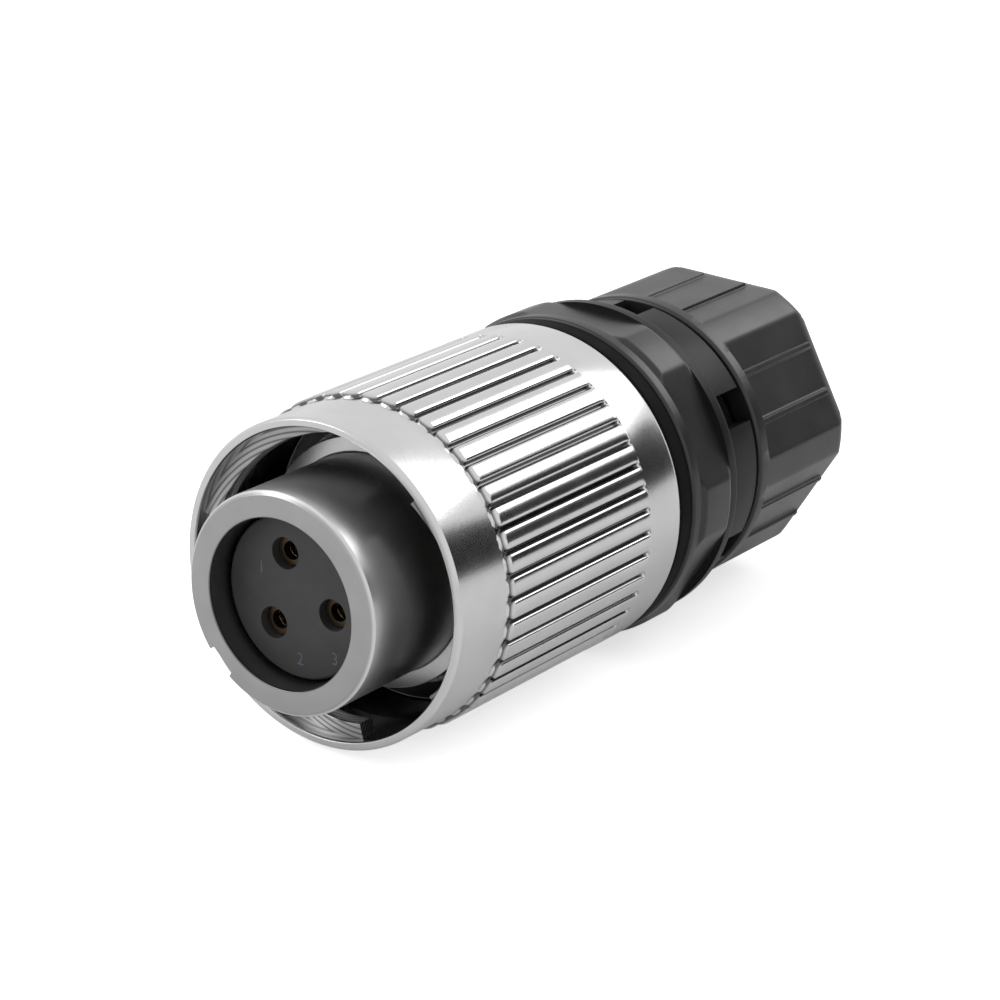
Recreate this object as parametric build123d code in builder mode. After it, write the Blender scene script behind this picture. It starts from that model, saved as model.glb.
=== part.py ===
# Cable plug of a three-contact circular power connector with a bayonet coupling ring.
#
# It lies on its side along Y. A station is a distance along Y from the mating face,
# growing towards the cable. Radii, stations and lengths are in millimetres, and an
# angle is measured as seen from in front, from the right (+X) towards the top (+Z).
from build123d import *
import os
from math import cos, radians, sin, tan

os.makedirs("parts", exist_ok=True)

# Clearances
FACE_GAP = 0.03
RUNNING_CLEARANCE = 0.06
SEATED_CLEARANCE = 0.05
SKIRT_CLEARANCE = 0.35

# Plug shell
NOSE_R = 9.4
NOSE_WALL = 2.2
NOSE_LENGTH = 12.0
NOSE_CHAMFER = 0.35
KEYWAY_ANGLE = 225
KEYWAY_WIDTH = 2.6
KEYWAY_DEPTH = 0.9
KEYWAY_LENGTH = 8.0
FLANGE_HEIGHT = 1.4
FLANGE_THICKNESS = 2.0
SEAT_STEP = 0.5
SEAT_STATION = 10.0
TAIL_WALL = 1.3
TAIL_LENGTH = 16.0
O_RING_SECTION_R = 0.36
O_RING_BEHIND_COLLAR = 2.4

# Insulators and contacts
INSERT_RECESS = 2.3
INSERT_CLEARANCE = 0.22
INSERT_EDGE = 0.3
FRONT_INSULATOR_SHOULDER = 4.0
REAR_INSULATOR_THICKNESS = 6.0
RETAINING_RING_THICKNESS = 0.75
RETAINING_RING_DEPTH = 0.5
RETAINING_RING_OVERHANG = 0.8
RETAINING_RING_GAP = 5.0
CONTACT_PITCH_R = 3.65
CONTACT_COUNT = 3
CONTACT_ANGLE = 108
CONTACT_HOLE_R = 1.35
CONTACT_RECESS = 0.8
PIN_BORE_R = 0.8
PIN_BORE_DEPTH = 6.0
HOOD_CLEARANCE = 0.1
HOOD_WALL = 0.23
HOOD_LIP = 0.8
HOOD_LENGTH = 5.3
TINE_SLOT = 0.3
CONTACT_COLLAR_HEIGHT = 0.65
CONTACT_COLLAR_LENGTH = 1.0
CONTACT_TAIL_R = 1.4
SOLDER_CUP_LENGTH = 5.0
SOLDER_CUP_WALL = 0.4
SOLDER_CUP_DEPTH = 3.5

# Spring, washers and the float of the coupling ring
SPRING_HEIGHT = 1.55
SPRING_STRIP = 0.4
WASHER_THICKNESS = 0.8
THRUST_WASHER_STEP = 0.6
SLIDE_WASHER_WIDTH = 2.2

# Coupling ring
CREST_R = 14.5
KNURL_HEIGHT = 0.5
KNURL_COUNT = 46
KNURL_LENGTH = 20.1
KNURL_GROOVE_TOP = 0.6
KNURL_GROOVE_FLOOR = 0.25
KNURL_FLOOR_RISE = 0.05
BAND_LENGTH = 6.1
REAR_BAND_LENGTH = 4.85
REAR_BAND_ROUND = 0.8
MOUTH_WALL = 0.8
MOUTH_CHAMFER = 0.2
SKIRT_WALL = 1.3
RING_REACH = 11.1
WEB_THICKNESS = 4.0
LEDGE_COUNT = 3
LEDGE_HEIGHT = 1.3
LEDGE_THICKNESS = 1.6
LEDGE_BEHIND_RIM = 0.9
LEDGE_LEAD = 12.6
LEDGE_SPAN = 95
LEDGE_ANGLE = 165
LEDGE_ROOT = 0.3

# Back shell
REAR_SEAL_SINK = 0.2
REAR_SEAL_THICKNESS = 1.8
HEX_RIM_LENGTH = 1.1
HEX_REAR_RIM_LENGTH = 1.2
HEX_FLAT_LENGTH = 4.7
HEX_CORNER_HEIGHT = 0.3
HEX_FLAT_DEPTH = 1.0
REAR_TURN = -3
NECK_STEP = 1.2
NECK_LENGTH = 5.0
WINDOW_COUNT = 6
WINDOW_WIDTH = 3.0
WINDOW_LENGTH = 4.6
WINDOW_DEPTH = 2.3
CAVITY_SIDE_ROOM = 1.4
WIRING_CAVITY_LENGTH = 15.0
SEAL_STOP_STEP = 1.3
SPIGOT_WALL = 2.95
SPIGOT_LENGTH = 10.1
SPIGOT_BORE_R = 8.0

# Cable gland
CABLE_BORE_R = 4.2
CAGE_WALL = 1.05
CAGE_FLANGE_HEIGHT = 1.95
CAGE_FLANGE_THICKNESS = 0.6
CAGE_FINGERS = 8
CAGE_FINGER_LENGTH = 3.7
CAGE_TIP_TAPER = 0.7
CAGE_SLOT = 1.0
SEAL_BEHIND_TIPS = 0.4
SLIP_WASHER_SIDE_GAP = 1.0
SLIP_WASHER_BORE_STEP = 0.3
NUT_GAP = 0.4
NUT_LENGTH = 14.9
NUT_WALL = 2.15
NUT_CHAMFER = 0.4
NUT_RIM_LENGTH = 1.3
NUT_FLAT_DEPTH = 1.2
NUT_THREAD_CLEARANCE = 0.35
NUT_EXIT_STEP = 0.2
NUT_CONE_STEP = 0.8
NUT_EXIT_LENGTH = 1.5
NUT_REAR_ROUND = 1.3
RIB_ANGLE = 10.3
RIB_WIDTH = 0.5
RIB_HEIGHT = 0.3

# Radii that follow from those sizes
nose_bore_r = NOSE_R - NOSE_WALL
flange_r = NOSE_R + FLANGE_HEIGHT
seat_bore_r = nose_bore_r + SEAT_STEP
journal_r = seat_bore_r + TAIL_WALL
retaining_groove_r = seat_bore_r + RETAINING_RING_DEPTH
hood_r = CONTACT_HOLE_R - HOOD_CLEARANCE
contact_body_r = CONTACT_HOLE_R - SEATED_CLEARANCE
contact_collar_r = CONTACT_HOLE_R + CONTACT_COLLAR_HEIGHT
solder_cup_bore_r = CONTACT_TAIL_R - SOLDER_CUP_WALL
band_r = CREST_R - KNURL_HEIGHT
mouth_r = band_r - MOUTH_WALL
ledge_inner_r = mouth_r - LEDGE_HEIGHT
thrust_washer_r = flange_r + THRUST_WASHER_STEP
skirt_bore_r = CREST_R - SKIRT_WALL
collar_r = skirt_bore_r - SKIRT_CLEARANCE
slide_washer_r = journal_r + SLIDE_WASHER_WIDTH
web_bore_r = journal_r + RUNNING_CLEARANCE
hex_corner_r = CREST_R + HEX_CORNER_HEIGHT
hex_flat_r = hex_corner_r - HEX_FLAT_DEPTH
neck_r = CREST_R - NECK_STEP
tail_bore_r = journal_r + FACE_GAP
cavity_r = journal_r + CAVITY_SIDE_ROOM
seal_stop_r = CABLE_BORE_R + SEAL_STOP_STEP
spigot_r = SPIGOT_BORE_R + SPIGOT_WALL
cage_r = SPIGOT_BORE_R - SEATED_CLEARANCE
cage_bore_r = cage_r - CAGE_WALL
cable_seal_r = cage_bore_r - SEATED_CLEARANCE
nut_thread_r = spigot_r + NUT_THREAD_CLEARANCE
nut_r = nut_thread_r + NUT_WALL
nut_flat_r = nut_r - NUT_FLAT_DEPTH

# Stations that follow from those sizes
flange_rear = NOSE_LENGTH + FLANGE_THICKNESS
tail_rear = flange_rear + TAIL_LENGTH
thrust_front = flange_rear + SPRING_HEIGHT
thrust_rear = thrust_front + WASHER_THICKNESS
web_front = thrust_rear + FACE_GAP
web_rear = web_front + WEB_THICKNESS
slide_front = web_rear + FACE_GAP
collar_front = slide_front + WASHER_THICKNESS
ring_front = web_front - RING_REACH
knurl_front = ring_front + BAND_LENGTH
knurl_rear = knurl_front + KNURL_LENGTH
ring_rear = knurl_rear + REAR_BAND_LENGTH
rear_seal_front = ring_rear + FACE_GAP
hex_front = rear_seal_front + REAR_SEAL_THICKNESS
flats_front = hex_front + HEX_RIM_LENGTH
flats_rear = flats_front + HEX_FLAT_LENGTH
hex_rear = flats_rear + HEX_REAR_RIM_LENGTH
shoulder = hex_rear + NECK_LENGTH
spigot_rear = shoulder + SPIGOT_LENGTH
insulator_joint = SEAT_STATION + FRONT_INSULATOR_SHOULDER
insulator_rear = insulator_joint + REAR_INSULATOR_THICKNESS
ring_groove_rear = insulator_rear + RETAINING_RING_THICKNESS + 2 * SEATED_CLEARANCE
contact_front = INSERT_RECESS + CONTACT_RECESS
tine_front = contact_front + HOOD_LIP + SEATED_CLEARANCE
hood_rear = contact_front + HOOD_LENGTH
cage_flange_rear = spigot_rear + CAGE_FLANGE_THICKNESS
cage_tips = cage_flange_rear + CAGE_FINGER_LENGTH
cage_front = shoulder + 2 * SEATED_CLEARANCE
slip_front = cage_flange_rear + FACE_GAP
slip_rear = slip_front + WASHER_THICKNESS
nut_front = shoulder + NUT_GAP
nut_rear = nut_front + NUT_LENGTH
nut_flats_front = nut_front + NUT_RIM_LENGTH
nut_seat = slip_rear + FACE_GAP


def station(s):
    """Cross-section plane at a station: local X to the right, local Y up, normal forward."""
    return Plane.XZ.offset(-s)


def outline(*points, plane=Plane.XY):
    """Closed outline from (radius, station) pairs, in a plane through the axis."""
    with BuildSketch(plane) as profile:
        with BuildLine():
            Polyline(*points, close=True)
        make_face()
    return profile.sketch


def tube(inner, outer, front, rear):
    """Outline of a plain tube."""
    return outline((inner, front), (outer, front), (outer, rear), (inner, rear))


def round_edges(builder, radius, at):
    """The circular edges with one radius at one station."""
    circles = builder.edges().filter_by(GeomType.CIRCLE)
    return circles.filter_by(
        lambda edge: abs(edge.radius - radius) < 0.01 and abs(edge.arc_center.Y - at) < 0.01
    )


def write(builder, name):
    """Label a finished piece and write its STEP file."""
    builder.part.label = name
    export_step(builder.part, f"parts/{name}.step")


# Plug shell: nose, flange, journal for the ring and threaded tail
o_ring_front = collar_front + O_RING_BEHIND_COLLAR
o_ring_groove_r = journal_r - 2 * O_RING_SECTION_R
o_ring_groove_rear = o_ring_front + 2 * O_RING_SECTION_R + 2 * SEATED_CLEARANCE
with BuildPart() as plug_shell:
    revolve(
        outline(
            (nose_bore_r, 0),
            (NOSE_R - NOSE_CHAMFER, 0),
            (NOSE_R, NOSE_CHAMFER),
            (NOSE_R, NOSE_LENGTH),
            (flange_r, NOSE_LENGTH),
            (flange_r, flange_rear),
            (journal_r, flange_rear),
            (journal_r, o_ring_front),
            (o_ring_groove_r, o_ring_front),
            (o_ring_groove_r, o_ring_groove_rear),
            (journal_r, o_ring_groove_rear),
            (journal_r, tail_rear),
            (seat_bore_r, tail_rear),
            (seat_bore_r, ring_groove_rear),
            (retaining_groove_r, ring_groove_rear),
            (retaining_groove_r, insulator_rear),
            (seat_bore_r, insulator_rear),
            (seat_bore_r, SEAT_STATION),
            (nose_bore_r, SEAT_STATION),
        ),
        axis=Axis.Y,
    )
    with BuildSketch(station(KEYWAY_LENGTH)):
        with PolarLocations(NOSE_R, 1, start_angle=KEYWAY_ANGLE):
            Rectangle(2 * KEYWAY_DEPTH, KEYWAY_WIDTH)
    extrude(amount=KEYWAY_LENGTH, mode=Mode.SUBTRACT)
write(plug_shell, "plug_shell")

# Front insulator: shouldered block that carries the contact holes
insert_r = nose_bore_r - INSERT_CLEARANCE
seat_r = seat_bore_r - SEATED_CLEARANCE
with BuildPart() as front_insulator:
    revolve(
        outline(
            (0, INSERT_RECESS),
            (insert_r - INSERT_EDGE, INSERT_RECESS),
            (insert_r, INSERT_RECESS + INSERT_EDGE),
            (insert_r, SEAT_STATION),
            (seat_r, SEAT_STATION),
            (seat_r, insulator_joint),
            (0, insulator_joint),
        ),
        axis=Axis.Y,
    )
    with BuildSketch(station(insulator_joint)):
        with PolarLocations(CONTACT_PITCH_R, CONTACT_COUNT, start_angle=CONTACT_ANGLE):
            Circle(CONTACT_HOLE_R)
    extrude(amount=insulator_joint - INSERT_RECESS, mode=Mode.SUBTRACT)
    with BuildSketch(station(insulator_joint)):
        with PolarLocations(CONTACT_PITCH_R, CONTACT_COUNT, start_angle=CONTACT_ANGLE):
            Circle(contact_collar_r + SEATED_CLEARANCE)
    extrude(amount=CONTACT_COLLAR_LENGTH, mode=Mode.SUBTRACT)
write(front_insulator, "front_insulator")

# Rear insulator: closes the contact collars into the front one
with BuildPart() as rear_insulator:
    revolve(tube(0, seat_r, insulator_joint, insulator_rear), axis=Axis.Y)
    with BuildSketch(station(insulator_rear)):
        with PolarLocations(CONTACT_PITCH_R, CONTACT_COUNT, start_angle=CONTACT_ANGLE):
            Circle(CONTACT_TAIL_R + SEATED_CLEARANCE)
    extrude(amount=REAR_INSULATOR_THICKNESS, mode=Mode.SUBTRACT)
write(rear_insulator, "rear_insulator")

# Retaining ring: a split ring in the shell's inner groove, behind the insulators
retaining_inner_r = seat_bore_r - RETAINING_RING_OVERHANG
retaining_front = insulator_rear + SEATED_CLEARANCE
retaining_rear = retaining_front + RETAINING_RING_THICKNESS
with BuildPart() as insert_retaining_ring:
    revolve(
        tube(
            retaining_inner_r,
            retaining_groove_r - SEATED_CLEARANCE,
            retaining_front,
            retaining_rear,
        ),
        axis=Axis.Y,
    )
    with BuildSketch(station(retaining_rear)):
        with Locations((0, -retaining_groove_r)):
            Rectangle(RETAINING_RING_GAP, 2 * retaining_groove_r - 2 * retaining_inner_r + 2)
    extrude(amount=RETAINING_RING_THICKNESS, mode=Mode.SUBTRACT)
write(insert_retaining_ring, "insert_retaining_ring")

# Socket contacts with slotted tines and solder cups, each with a hood over its tines
cup_rear = insulator_rear + SOLDER_CUP_LENGTH
collar_station = insulator_joint - CONTACT_COLLAR_LENGTH
tine_r = hood_r - HOOD_WALL - SEATED_CLEARANCE / 2
bore_rear = tine_front + PIN_BORE_DEPTH
for number in range(1, CONTACT_COUNT + 1):
    angle = CONTACT_ANGLE + (number - 1) * 360 / CONTACT_COUNT
    contact_x = CONTACT_PITCH_R * cos(radians(angle))
    contact_z = CONTACT_PITCH_R * sin(radians(angle))
    contact_plane = Plane(origin=(contact_x, 0, contact_z), x_dir=(1, 0, 0), z_dir=(0, 0, 1))
    contact_axis = Axis((contact_x, 0, contact_z), (0, 1, 0))
    with BuildPart() as socket_contact:
        revolve(
            outline(
                (PIN_BORE_R, tine_front),
                (tine_r, tine_front),
                (tine_r, hood_rear + SEATED_CLEARANCE),
                (contact_body_r, hood_rear + SEATED_CLEARANCE),
                (contact_body_r, collar_station),
                (contact_collar_r, collar_station),
                (contact_collar_r, insulator_joint),
                (CONTACT_TAIL_R, insulator_joint),
                (CONTACT_TAIL_R, cup_rear),
                (solder_cup_bore_r, cup_rear),
                (solder_cup_bore_r, cup_rear - SOLDER_CUP_DEPTH),
                (0, cup_rear - SOLDER_CUP_DEPTH),
                (0, bore_rear + PIN_BORE_R / 2),
                (PIN_BORE_R, bore_rear),
                plane=contact_plane,
            ),
            axis=contact_axis,
        )
        slot_length = hood_rear - tine_front
        with Locations((contact_x, tine_front + slot_length / 2, contact_z)):
            Box(3 * tine_r, slot_length, TINE_SLOT, mode=Mode.SUBTRACT)
            Box(TINE_SLOT, slot_length, 3 * tine_r, mode=Mode.SUBTRACT)
        with BuildSketch(station(cup_rear)):
            with PolarLocations(CONTACT_PITCH_R + CONTACT_TAIL_R, 1, start_angle=angle):
                Rectangle(2 * CONTACT_TAIL_R - solder_cup_bore_r, 2 * CONTACT_TAIL_R)
        extrude(amount=0.6 * SOLDER_CUP_DEPTH, mode=Mode.SUBTRACT)
    write(socket_contact, f"socket_contact_{number}")

    with BuildPart() as contact_hood:
        revolve(
            outline(
                (PIN_BORE_R, contact_front),
                (hood_r, contact_front),
                (hood_r, hood_rear),
                (hood_r - HOOD_WALL, hood_rear),
                (hood_r - HOOD_WALL, contact_front + HOOD_LIP),
                (PIN_BORE_R, contact_front + HOOD_LIP),
                plane=contact_plane,
            ),
            axis=contact_axis,
        )
    write(contact_hood, f"contact_hood_{number}")

# Disc spring between the shell's flange and the thrust washer
spring_bore_r = journal_r + 2 * RUNNING_CLEARANCE
with BuildPart() as disc_spring:
    revolve(
        outline(
            (flange_r, flange_rear),
            (flange_r, flange_rear + SPRING_STRIP),
            (spring_bore_r, thrust_front),
            (spring_bore_r, thrust_front - SPRING_STRIP),
        ),
        axis=Axis.Y,
    )
write(disc_spring, "disc_spring")

# Thrust washer, which the ring's web pushes forward against the spring
with BuildPart() as thrust_washer:
    revolve(
        tube(journal_r + RUNNING_CLEARANCE, thrust_washer_r, thrust_front, thrust_rear),
        axis=Axis.Y,
    )
write(thrust_washer, "thrust_washer")

# Coupling ring: turned body, straight knurl and three helical bayonet ledges
with BuildPart() as bayonet_ledge:
    with BuildLine() as ledge_path:
        Helix(
            pitch=LEDGE_LEAD,
            height=LEDGE_LEAD * LEDGE_SPAN / 360,
            radius=(ledge_inner_r + mouth_r + LEDGE_ROOT) / 2,
        )
    ledge_start = ledge_path.line @ 0
    ledge_heading = ledge_path.line % 0
    with BuildSketch(Plane(origin=ledge_start, x_dir=(1, 0, 0), z_dir=ledge_heading)):
        Rectangle(mouth_r + LEDGE_ROOT - ledge_inner_r, LEDGE_THICKNESS)
    sweep(is_frenet=True)

with BuildPart() as coupling_ring:
    revolve(
        outline(
            (mouth_r + MOUTH_CHAMFER, ring_front),
            (band_r - MOUTH_CHAMFER, ring_front),
            (band_r, ring_front + MOUTH_CHAMFER),
            (band_r, knurl_front),
            (CREST_R, knurl_front + KNURL_HEIGHT),
            (CREST_R, ring_rear),
            (skirt_bore_r, ring_rear),
            (skirt_bore_r, web_rear),
            (web_bore_r, web_rear),
            (web_bore_r, web_front),
            (mouth_r, web_front),
            (mouth_r, ring_front + MOUTH_CHAMFER),
        ),
        axis=Axis.Y,
    )
    fillet(round_edges(coupling_ring, CREST_R, ring_rear), REAR_BAND_ROUND)
    with BuildSketch(station(knurl_rear)):
        with PolarLocations(0, KNURL_COUNT):
            Polygon(
                (band_r + KNURL_FLOOR_RISE, -KNURL_GROOVE_FLOOR / 2),
                (CREST_R, -KNURL_GROOVE_TOP / 2),
                (CREST_R + 1, -KNURL_GROOVE_TOP / 2),
                (CREST_R + 1, KNURL_GROOVE_TOP / 2),
                (CREST_R, KNURL_GROOVE_TOP / 2),
                (band_r + KNURL_FLOOR_RISE, KNURL_GROOVE_FLOOR / 2),
                align=None,
            )
    extrude(amount=KNURL_LENGTH, mode=Mode.SUBTRACT)
    for index in range(LEDGE_COUNT):
        ledge_angle = radians(LEDGE_ANGLE + index * 360 / LEDGE_COUNT)
        ledge_frame = Plane(
            origin=(0, ring_front + LEDGE_BEHIND_RIM + LEDGE_THICKNESS / 2, 0),
            x_dir=(cos(ledge_angle), 0, sin(ledge_angle)),
            z_dir=(0, 1, 0),
        )
        add(ledge_frame.location * bayonet_ledge.part)
write(coupling_ring, "coupling_ring")

# Slide washer between the ring's web and the back shell
with BuildPart() as slide_washer:
    revolve(
        tube(journal_r + RUNNING_CLEARANCE, slide_washer_r, slide_front, collar_front),
        axis=Axis.Y,
    )
write(slide_washer, "slide_washer")

# Rear seal: the black rubber ring that fills the gap between coupling ring and back shell
with BuildPart() as rear_seal:
    revolve(
        tube(collar_r + SEATED_CLEARANCE, CREST_R - REAR_SEAL_SINK, rear_seal_front, hex_front),
        axis=Axis.Y,
    )
write(rear_seal, "rear_seal")

# Back shell: collar, spanner hexagon, windowed neck and gland spigot
cavity_rear = tail_rear + WIRING_CAVITY_LENGTH
cavity_cone = cavity_r - seal_stop_r
with BuildPart() as back_shell:
    revolve(
        outline(
            (tail_bore_r, collar_front),
            (collar_r, collar_front),
            (collar_r, hex_front),
            (CREST_R, hex_front),
            (CREST_R, flats_front),
            (hex_corner_r, flats_front + HEX_CORNER_HEIGHT),
            (hex_corner_r, flats_rear - HEX_CORNER_HEIGHT),
            (CREST_R, flats_rear),
            (CREST_R, hex_rear),
            (neck_r, hex_rear),
            (neck_r, shoulder),
            (spigot_r, shoulder),
            (spigot_r, spigot_rear),
            (SPIGOT_BORE_R, spigot_rear),
            (SPIGOT_BORE_R, shoulder),
            (seal_stop_r, shoulder),
            (seal_stop_r, cavity_rear),
            (cavity_r, cavity_rear - cavity_cone),
            (cavity_r, tail_rear),
            (tail_bore_r, tail_rear),
        ),
        axis=Axis.Y,
    )
    with BuildSketch(station(flats_rear)):
        Circle(hex_corner_r + 1)
        RegularPolygon(hex_flat_r, 6, False, rotation=REAR_TURN, mode=Mode.SUBTRACT)
    extrude(amount=HEX_FLAT_LENGTH, mode=Mode.SUBTRACT)
    with BuildSketch(station(shoulder)):
        with PolarLocations(neck_r, WINDOW_COUNT, start_angle=30 + REAR_TURN):
            Rectangle(2 * WINDOW_DEPTH, WINDOW_WIDTH)
    extrude(amount=WINDOW_LENGTH, mode=Mode.SUBTRACT)
write(back_shell, "back_shell")

# O-ring in the groove on the shell's tail, inside the back shell
o_ring_r = journal_r - O_RING_SECTION_R
o_ring_station = (o_ring_front + o_ring_groove_rear) / 2
with BuildPart() as shell_o_ring:
    with BuildSketch(Plane.XY):
        with Locations((o_ring_r, o_ring_station)):
            Circle(O_RING_SECTION_R)
    revolve(axis=Axis.Y)
write(shell_o_ring, "shell_o_ring")

# Cable seal: rubber sleeve that grips the cable
seal_rear = cage_tips - SEAL_BEHIND_TIPS
with BuildPart() as cable_seal:
    revolve(tube(CABLE_BORE_R, cable_seal_r, cage_front, seal_rear), axis=Axis.Y)
write(cable_seal, "cable_seal")

# Clamp cage: flanged sleeve around the seal, with fingers that the nut squeezes
with BuildPart() as clamp_cage:
    revolve(
        outline(
            (cage_bore_r, cage_front),
            (cage_r, cage_front),
            (cage_r, spigot_rear),
            (cage_r + CAGE_FLANGE_HEIGHT, spigot_rear),
            (cage_r + CAGE_FLANGE_HEIGHT, cage_flange_rear),
            (cage_r, cage_flange_rear),
            (cage_r - CAGE_TIP_TAPER, cage_tips),
            (cage_bore_r, cage_tips),
        ),
        axis=Axis.Y,
    )
    with BuildSketch(station(cage_tips)):
        with PolarLocations(cage_r, CAGE_FINGERS):
            Rectangle(4 * CAGE_WALL, CAGE_SLOT)
    extrude(amount=CAGE_FINGER_LENGTH, mode=Mode.SUBTRACT)
write(clamp_cage, "clamp_cage")

# Slip washer, captive in the nut, so that the nut doesn't twist the cage
with BuildPart() as slip_washer:
    revolve(
        tube(
            SPIGOT_BORE_R + SLIP_WASHER_BORE_STEP,
            nut_thread_r - SLIP_WASHER_SIDE_GAP,
            slip_front,
            slip_rear,
        ),
        axis=Axis.Y,
    )
write(slip_washer, "slip_washer")

# Gland nut: soft hexagon with two grip ribs on each flat
rib_offset = nut_flat_r * tan(radians(RIB_ANGLE))
rib_length = NUT_LENGTH - NUT_RIM_LENGTH - NUT_REAR_ROUND
with BuildPart() as gland_nut:
    revolve(
        outline(
            (nut_thread_r, nut_front),
            (nut_r - NUT_CHAMFER, nut_front),
            (nut_r, nut_front + NUT_CHAMFER),
            (nut_r, nut_rear),
            (SPIGOT_BORE_R - NUT_EXIT_STEP, nut_rear),
            (SPIGOT_BORE_R - NUT_EXIT_STEP, nut_rear - NUT_EXIT_LENGTH),
            (SPIGOT_BORE_R + NUT_CONE_STEP, nut_seat),
            (nut_thread_r, nut_seat),
        ),
        axis=Axis.Y,
    )
    fillet(round_edges(gland_nut, nut_r, nut_rear), NUT_REAR_ROUND)
    with BuildSketch(station(nut_rear)):
        Circle(nut_r + 1)
        RegularPolygon(nut_flat_r, 6, False, rotation=REAR_TURN, mode=Mode.SUBTRACT)
    extrude(amount=nut_rear - nut_flats_front, mode=Mode.SUBTRACT)
    with BuildSketch(station(nut_rear - NUT_REAR_ROUND)):
        with PolarLocations(nut_flat_r, 6, start_angle=30 + REAR_TURN):
            with Locations((0, rib_offset), (0, -rib_offset)):
                Rectangle(2 * RIB_HEIGHT, RIB_WIDTH)
    extrude(amount=rib_length)
write(gland_nut, "gland_nut")
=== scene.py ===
import math

import bmesh
import bpy
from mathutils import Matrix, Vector


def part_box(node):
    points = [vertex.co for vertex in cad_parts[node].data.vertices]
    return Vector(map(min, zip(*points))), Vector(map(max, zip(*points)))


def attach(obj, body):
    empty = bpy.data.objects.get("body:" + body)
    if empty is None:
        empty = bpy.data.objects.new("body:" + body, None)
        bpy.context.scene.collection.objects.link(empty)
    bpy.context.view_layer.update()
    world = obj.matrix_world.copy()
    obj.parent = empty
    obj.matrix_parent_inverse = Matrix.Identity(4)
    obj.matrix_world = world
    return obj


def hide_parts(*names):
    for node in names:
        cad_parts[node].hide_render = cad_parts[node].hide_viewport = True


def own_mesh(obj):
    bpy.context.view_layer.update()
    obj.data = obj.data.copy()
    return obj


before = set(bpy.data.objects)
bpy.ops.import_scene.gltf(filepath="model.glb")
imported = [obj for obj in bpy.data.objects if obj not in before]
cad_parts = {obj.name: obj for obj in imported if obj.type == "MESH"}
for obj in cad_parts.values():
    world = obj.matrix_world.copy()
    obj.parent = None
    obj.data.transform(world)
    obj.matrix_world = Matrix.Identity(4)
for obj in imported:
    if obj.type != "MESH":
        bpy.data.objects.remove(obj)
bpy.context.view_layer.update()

# Lengths in this script are in millimetres, apart from those of the stage and the lamps, and
# become metres in the meshes.
# A station is a distance along Y from the mating face, growing towards the cable.
# An angle is seen from in front, from the right (+X) towards the top (+Z).
MM = 0.001
# Less than any step of a profile, to tell its points apart
TINY = 0.01


def front_of(node):
    """Station of a CAD node's front end."""
    return round(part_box(node)[0].y / MM, 2)


def rear_of(node):
    """Station of a CAD node's rear end."""
    return round(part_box(node)[1].y / MM, 2)


def radius_of(node):
    """Outer radius of a CAD node that is round about the Y axis where it is widest."""
    return round(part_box(node)[1].x / MM, 2)


# Clearances between the CAD solids
FACE_GAP = 0.03
SEATED_CLEARANCE = 0.05

# Plug shell
NOSE_R = 9.4
NOSE_BORE_R = 7.2
NOSE_CHAMFER = 0.35
KEYWAY_ANGLE = 225
KEYWAY_WIDTH = 2.6
KEYWAY_DEPTH = 0.9
KEYWAY_LENGTH = 8.0
FLANGE_THICKNESS = 2.0
FLANGE_REAR = front_of("disc_spring")
FLANGE_FRONT = FLANGE_REAR - FLANGE_THICKNESS
FLANGE_R = radius_of("plug_shell")
JOURNAL_R = 9.0
SHELL_REAR = rear_of("plug_shell")
SHELL_BORE_R = radius_of("front_insulator") + SEATED_CLEARANCE
INSERT_SEAT = 10.0
RETAINER_GROOVE_R = radius_of("insert_retaining_ring") + SEATED_CLEARANCE
RETAINER_GROOVE_FRONT = rear_of("rear_insulator")
RETAINER_GROOVE_REAR = rear_of("insert_retaining_ring") + SEATED_CLEARANCE

# Disc spring
SPRING_BORE_R = 9.12
SPRING_HEIGHT = rear_of("disc_spring") - FLANGE_REAR
SPRING_STRIP = 0.4

# Front insulator
INSERT_RECESS = front_of("front_insulator")
INSERT_R = 6.98
INSERT_SHOULDER_R = radius_of("front_insulator")
INSERT_REAR = rear_of("front_insulator")
CONTACT_PITCH_R = 3.65
CONTACT_ANGLES = (108, 228, 348)
CONTACT_HOLE_R = 1.35
CONTACT_COLLAR_R = 2.05
CONTACT_COLLAR_LENGTH = 1.0
CUT_OVERRUN = 1.0
NUMBER_PLACES = ((-3.6, 1.75), (0.2, -5.3), (3.75, -4.5))
NUMBER_HEIGHT = 1.5
NUMBER_THICKNESS = 0.01

# Coupling ring
RING_FRONT = front_of("coupling_ring")
RING_REAR = rear_of("coupling_ring")
CREST_R = radius_of("coupling_ring")
BAND_R = 14.0
BAND_LENGTH = 6.1
KNURL_LENGTH = 20.1
KNURL_FRONT = RING_FRONT + BAND_LENGTH
KNURL_REAR = KNURL_FRONT + KNURL_LENGTH
KNURL_COUNT = 46
KNURL_PITCH = 360 / KNURL_COUNT
KNURL_FOOT = 0.1
REAR_BAND_STEPS = (0.03, 0.12, 0.5)
RIM_CHAMFER_DEPTH = 0.2
RIM_CHAMFER_LENGTH = 0.25
MOUTH_R = 13.2
MOUTH_CHAMFER_DEPTH = 0.1
MOUTH_CHAMFER_LENGTH = 0.2
SKIRT_BORE_R = 13.2
WEB_FRONT = rear_of("thrust_washer") + FACE_GAP
WEB_REAR = front_of("slide_washer") - FACE_GAP
WEB_BORE_R = 9.06

# Ridges of the knurl: half widths and slopes are parts of half a pitch
GROOVE_FLOOR = 0.05
GROOVE_FLANK = 0.25
GROOVE_END_WIDENING = 0.5
GROOVE_LIFT = 0.02
RIDGE_CROWN = 0.19
RIDGE_FRONT = 0.7
RIDGE_REAR = 0.7

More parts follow.
